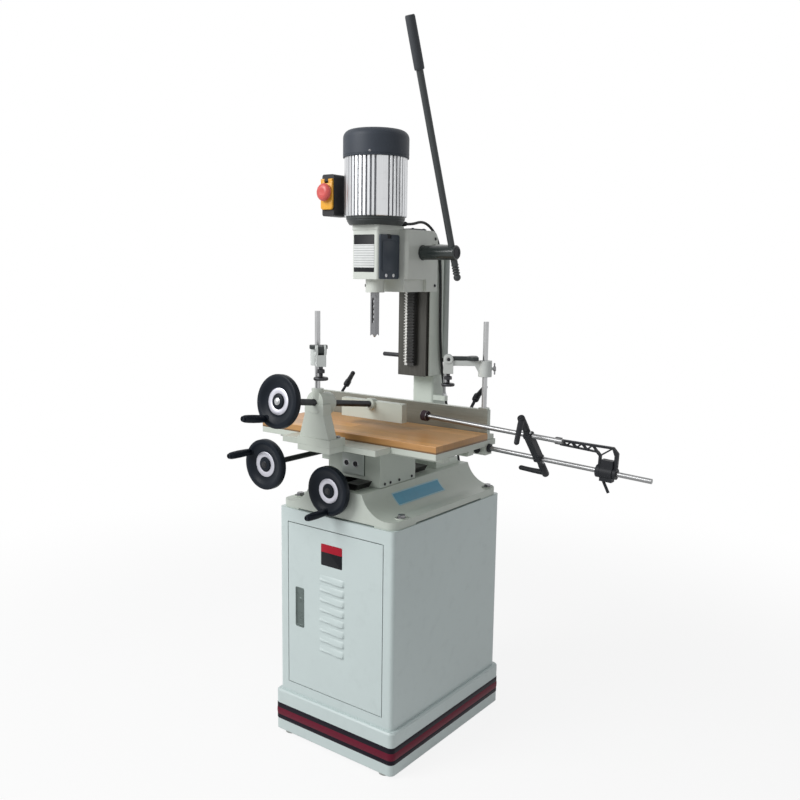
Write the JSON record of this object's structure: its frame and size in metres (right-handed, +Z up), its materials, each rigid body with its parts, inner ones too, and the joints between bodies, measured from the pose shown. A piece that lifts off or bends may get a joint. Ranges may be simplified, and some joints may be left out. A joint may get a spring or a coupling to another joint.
{
  "type": "hollow chisel mortiser",
  "caption": "Floor-standing hollow chisel mortiser: sheet cabinet, cast base with cross-slide wood-topped table, screw vise, column and lever-fed motor head.",
  "frame": {"origin": "on the floor, under the middle of the cabinet's plinth", "axes": "+X to the machine's right, -Y to its front with the door and handwheels, +Z up"},
  "size_m": [0.9908, 0.8329, 1.8185],
  "materials": {
    "paint": "pale grey-green semi-gloss paint",
    "latch_grey": "grey hammered plate",
    "foot_plastic": "pale plastic",
    "steel": "turned steel",
    "dark_steel": "oiled dark steel",
    "chrome": "bright plated rod",
    "wheel_black": "blue-black semi-gloss",
    "black_plastic": "moulded black",
    "black_paint": "charcoal paint",
    "aluminium": "extruded fins",
    "wood": "warm brown sealed board",
    "yellow": "yellow moulding",
    "red": "red moulding",
    "cord_rubber": "black sheath"
  },
  "bodies": {
    "stand": {"cabinet": "paint", "levelling_feet": "foot_plastic", "base_casting": "paint", "base_bolts": "steel", "column": "paint", "feed_rack": "dark_steel", "gas_spring_rod": "chrome", "mains_cord": "cord_rubber", "plug": "black_plastic"},
    "door": {"cabinet_door": "paint"},
    "latch": {"door_latch": "latch_grey"},
    "cross_feed": {"cross_screw": "dark_steel", "cross_wheel": "wheel_black"},
    "cross_grip": {"cross_handle": "wheel_black"},
    "saddle": {"saddle": "paint"},
    "table_drive": {"table_pinion_shaft": "dark_steel", "table_wheel": "wheel_black"},
    "table_grip": {"table_handle": "wheel_black"},
    "table": {"table_iron": "paint", "table_top": "wood", "vise_bracket": "paint", "front_hold_rod": "chrome"},
    "fence": {"fence": "paint", "rear_hold_rod": "chrome"},
    "fence_lock_left": {"fence_lever_left": "black_plastic"},
    "fence_lock_right": {"fence_lever_right": "black_plastic"},
    "jaw": {"vise_jaw": "paint"},
    "vise_feed": {"vise_screw": "dark_steel", "vise_wheel": "wheel_black"},
    "vise_grip": {"vise_handle": "wheel_black"},
    "rear_arm": {"rear_hold_arm": "paint"},
    "rear_cam": {"rear_hold_lever": "dark_steel"},
    "rear_foot": {"rear_hold_foot": "dark_steel"},
    "front_arm": {"front_hold_arm": "paint"},
    "front_cam": {"front_hold_lever": "dark_steel"},
    "front_foot": {"front_hold_foot": "dark_steel"},
    "stop_lower": {"stop_rod_lower": "chrome"},
    "stop_link": {"stop_link": "black_plastic"},
    "stop_upper": {"stop_rod_upper": "chrome"},
    "link_lock_upper": {"link_lever_upper": "black_plastic"},
    "link_lock_lower": {"link_lever_lower": "black_plastic"},
    "flip_clamp": {"flip_clamp": "black_plastic"},
    "flip_arm": {"flip_arm": "black_plastic"},
    "head": {"head_casting": "paint", "chuck_cover": "black_plastic", "motor_body": "aluminium", "motor_flange": "black_paint", "fan_cover": "black_paint", "hollow_chisel": "steel", "switch_box": "black_plastic", "gas_spring_tube": "black_paint", "cord_gland": "black_plastic"},
    "spindle": {"rotor": "steel", "chuck": "steel", "auger_bit": "steel"},
    "switch_lid": {"switch_lid": "yellow"},
    "stop_button": {"stop_button": "red"},
    "feed": {"feed_hub": "black_paint", "feed_pinion": "steel", "feed_lever": "black_paint"}
  },
  "joints": [
    {"name": "door_hinge", "type": "hinge", "parent": "stand", "child": "door", "pos_m": [0.154, -0.241, 0.37], "axis": [0, 0, 1], "range_deg": [0, 110]},
    {"name": "latch_hinge", "type": "hinge", "parent": "door", "child": "latch", "pos_m": [-0.117, -0.242, 0.319], "axis": [1, 0, 0], "range_deg": [0, 50]},
    {"name": "saddle_y", "type": "slide", "parent": "stand", "child": "saddle", "axis": [0, 1, 0], "range_m": [-0.038, 0.052]},
    {"name": "cross_screw_turn", "type": "hinge", "parent": "stand", "child": "cross_feed", "pos_m": [0, -0.262, 0.704], "axis": [0, 1, 0], "range_deg": [-3430, 4690]},
    {"name": "cross_handle_spin", "type": "hinge", "parent": "cross_feed", "child": "cross_grip", "pos_m": [-0.00277, -0.262, 0.65107], "axis": [0, 1, 0], "continuous": true},
    {"name": "table_x", "type": "slide", "parent": "saddle", "child": "table", "axis": [1, 0, 0], "range_m": [-0.12, 0.12]},
    {"name": "table_pinion_turn", "type": "hinge", "parent": "saddle", "child": "table_drive", "pos_m": [-0.122, -0.357, 0.77], "axis": [0, 1, 0], "range_deg": [-288, 288]},
    {"name": "table_handle_spin", "type": "hinge", "parent": "table_drive", "child": "table_grip", "pos_m": [-0.1679, -0.357, 0.7965], "axis": [0, 1, 0], "continuous": true},
    {"name": "fence_y", "type": "slide", "parent": "table", "child": "fence", "axis": [0, 1, 0], "range_m": [0, 0.012]},
    {"name": "fence_lock_left_turn", "type": "hinge", "parent": "fence", "child": "fence_lock_left", "pos_m": [-0.218, 0.0315, 0.892], "axis": [0, 0.7071, 0.7071], "range_deg": [-60, 60]},
    {"name": "fence_lock_right_turn", "type": "hinge", "parent": "fence", "child": "fence_lock_right", "pos_m": [0.218, 0.0315, 0.892], "axis": [0, 0.7071, 0.7071], "range_deg": [-60, 60]},
    {"name": "vise_jaw_slide", "type": "slide", "parent": "table", "child": "jaw", "axis": [0, 0.9914, -0.1305], "range_m": [-0.08, 0.085]},
    {"name": "vise_screw_turn", "type": "hinge", "parent": "jaw", "child": "vise_feed", "pos_m": [0, -0.29, 0.928], "axis": [0, 0.9914, -0.1305], "range_deg": [-7210, 7660]},
    {"name": "vise_handle_spin", "type": "hinge", "parent": "vise_feed", "child": "vise_grip", "pos_m": [-0.0304, -0.43843, 0.90375], "axis": [0, 0.9914, -0.1305], "continuous": true},
    {"name": "rear_arm_height", "type": "slide", "parent": "fence", "child": "rear_arm", "axis": [0, 0, 1], "range_m": [-0.018, 0.092]},
    {"name": "rear_cam_turn", "type": "hinge", "parent": "rear_arm", "child": "rear_cam", "pos_m": [0.19153, -0.03087, 1.028], "axis": [0.6018, -0.7986, 0], "range_deg": [0, 80]},
    {"name": "rear_foot_lift", "type": "slide", "parent": "rear_arm", "child": "rear_foot", "axis": [0, 0, 1], "range_m": [0, 0.006]},
    {"name": "front_arm_height", "type": "slide", "parent": "table", "child": "front_arm", "axis": [0, 0, 1], "range_m": [-0.053, 0.072]},
    {"name": "front_cam_turn", "type": "hinge", "parent": "front_arm", "child": "front_cam", "pos_m": [0.06728, -0.36574, 1.063], "axis": [0.682, 0.7314, 0], "range_deg": [0, 80]},
    {"name": "front_foot_lift", "type": "slide", "parent": "front_arm", "child": "front_foot", "axis": [0, 0, 1], "range_m": [0, 0.006]},
    {"name": "stop_rod_slide", "type": "slide", "parent": "table", "child": "stop_lower", "axis": [0.999, 0, -0.0454], "range_m": [0, 0.025]},
    {"name": "stop_link_slide", "type": "slide", "parent": "stop_lower", "child": "stop_link", "axis": [0.999, 0, -0.0454], "range_m": [-0.06, 0.12]},
    {"name": "stop_upper_slide", "type": "slide", "parent": "stop_link", "child": "stop_upper", "axis": [0.999, 0, -0.0454], "range_m": [-0.07, 0.12]},
    {"name": "link_lock_upper_turn", "type": "hinge", "parent": "stop_link", "child": "link_lock_upper", "pos_m": [0.42785, -0.039, 0.86549], "axis": [0.0333, -0.6787, 0.7336], "range_deg": [-60, 60]},
    {"name": "link_lock_lower_turn", "type": "hinge", "parent": "stop_link", "child": "link_lock_lower", "pos_m": [0.42485, 0.022, 0.79956], "axis": [-0.0333, 0.6787, -0.7336], "range_deg": [-60, 60]},
    {"name": "flip_clamp_slide", "type": "slide", "parent": "stop_lower", "child": "flip_clamp", "axis": [0.999, 0, -0.0454], "range_m": [-0.02, 0.07]},
    {"name": "flip_arm_turn", "type": "hinge", "parent": "flip_clamp", "child": "flip_arm", "pos_m": [0.58269, 0.022, 0.79239], "axis": [0.999, 0, -0.0454], "range_deg": [-100, 100]},
    {"name": "head_feed", "type": "slide", "parent": "stand", "child": "head", "axis": [0, 0, 1], "range_m": [-0.07, 0], "stiffness_N_per_m": 2000, "springref_m": 0.35, "deforming": ["mains_cord"]},
    {"name": "spindle_turn", "type": "hinge", "parent": "head", "child": "spindle", "pos_m": [0, -0.087, 1.3], "axis": [0, 0, 1], "continuous": true},
    {"name": "switch_lid_hinge", "type": "hinge", "parent": "head", "child": "switch_lid", "pos_m": [-0.1035, -0.1539, 1.4665], "axis": [-1, 0, 0], "range_deg": [0, 100]},
    {"name": "stop_button_press", "type": "slide", "parent": "switch_lid", "child": "stop_button", "axis": [0, 1, 0], "range_m": [0, 0.004], "stiffness_N_per_m": 600, "springref_m": -0.002},
    {"name": "feed_lever_turn", "type": "hinge", "parent": "head", "child": "feed", "pos_m": [0.16, 0.025, 1.291], "axis": [1, 0, 0], "range_deg": [0, 115]}
  ],
  "couplings": [
    {"joint": "cross_screw_turn", "follows": "saddle_y", "rad_per_m": 1570.8},
    {"joint": "table_pinion_turn", "follows": "table_x", "rad_per_m": 41.667},
    {"joint": "vise_screw_turn", "follows": "vise_jaw_slide", "rad_per_m": 1570.8},
    {"joint": "rear_foot_lift", "follows": "rear_cam_turn", "m_per_rad": 0.0042},
    {"joint": "front_foot_lift", "follows": "front_cam_turn", "m_per_rad": 0.0042},
    {"joint": "feed_lever_turn", "follows": "head_feed", "rad_per_m": -28.571}
  ]
}
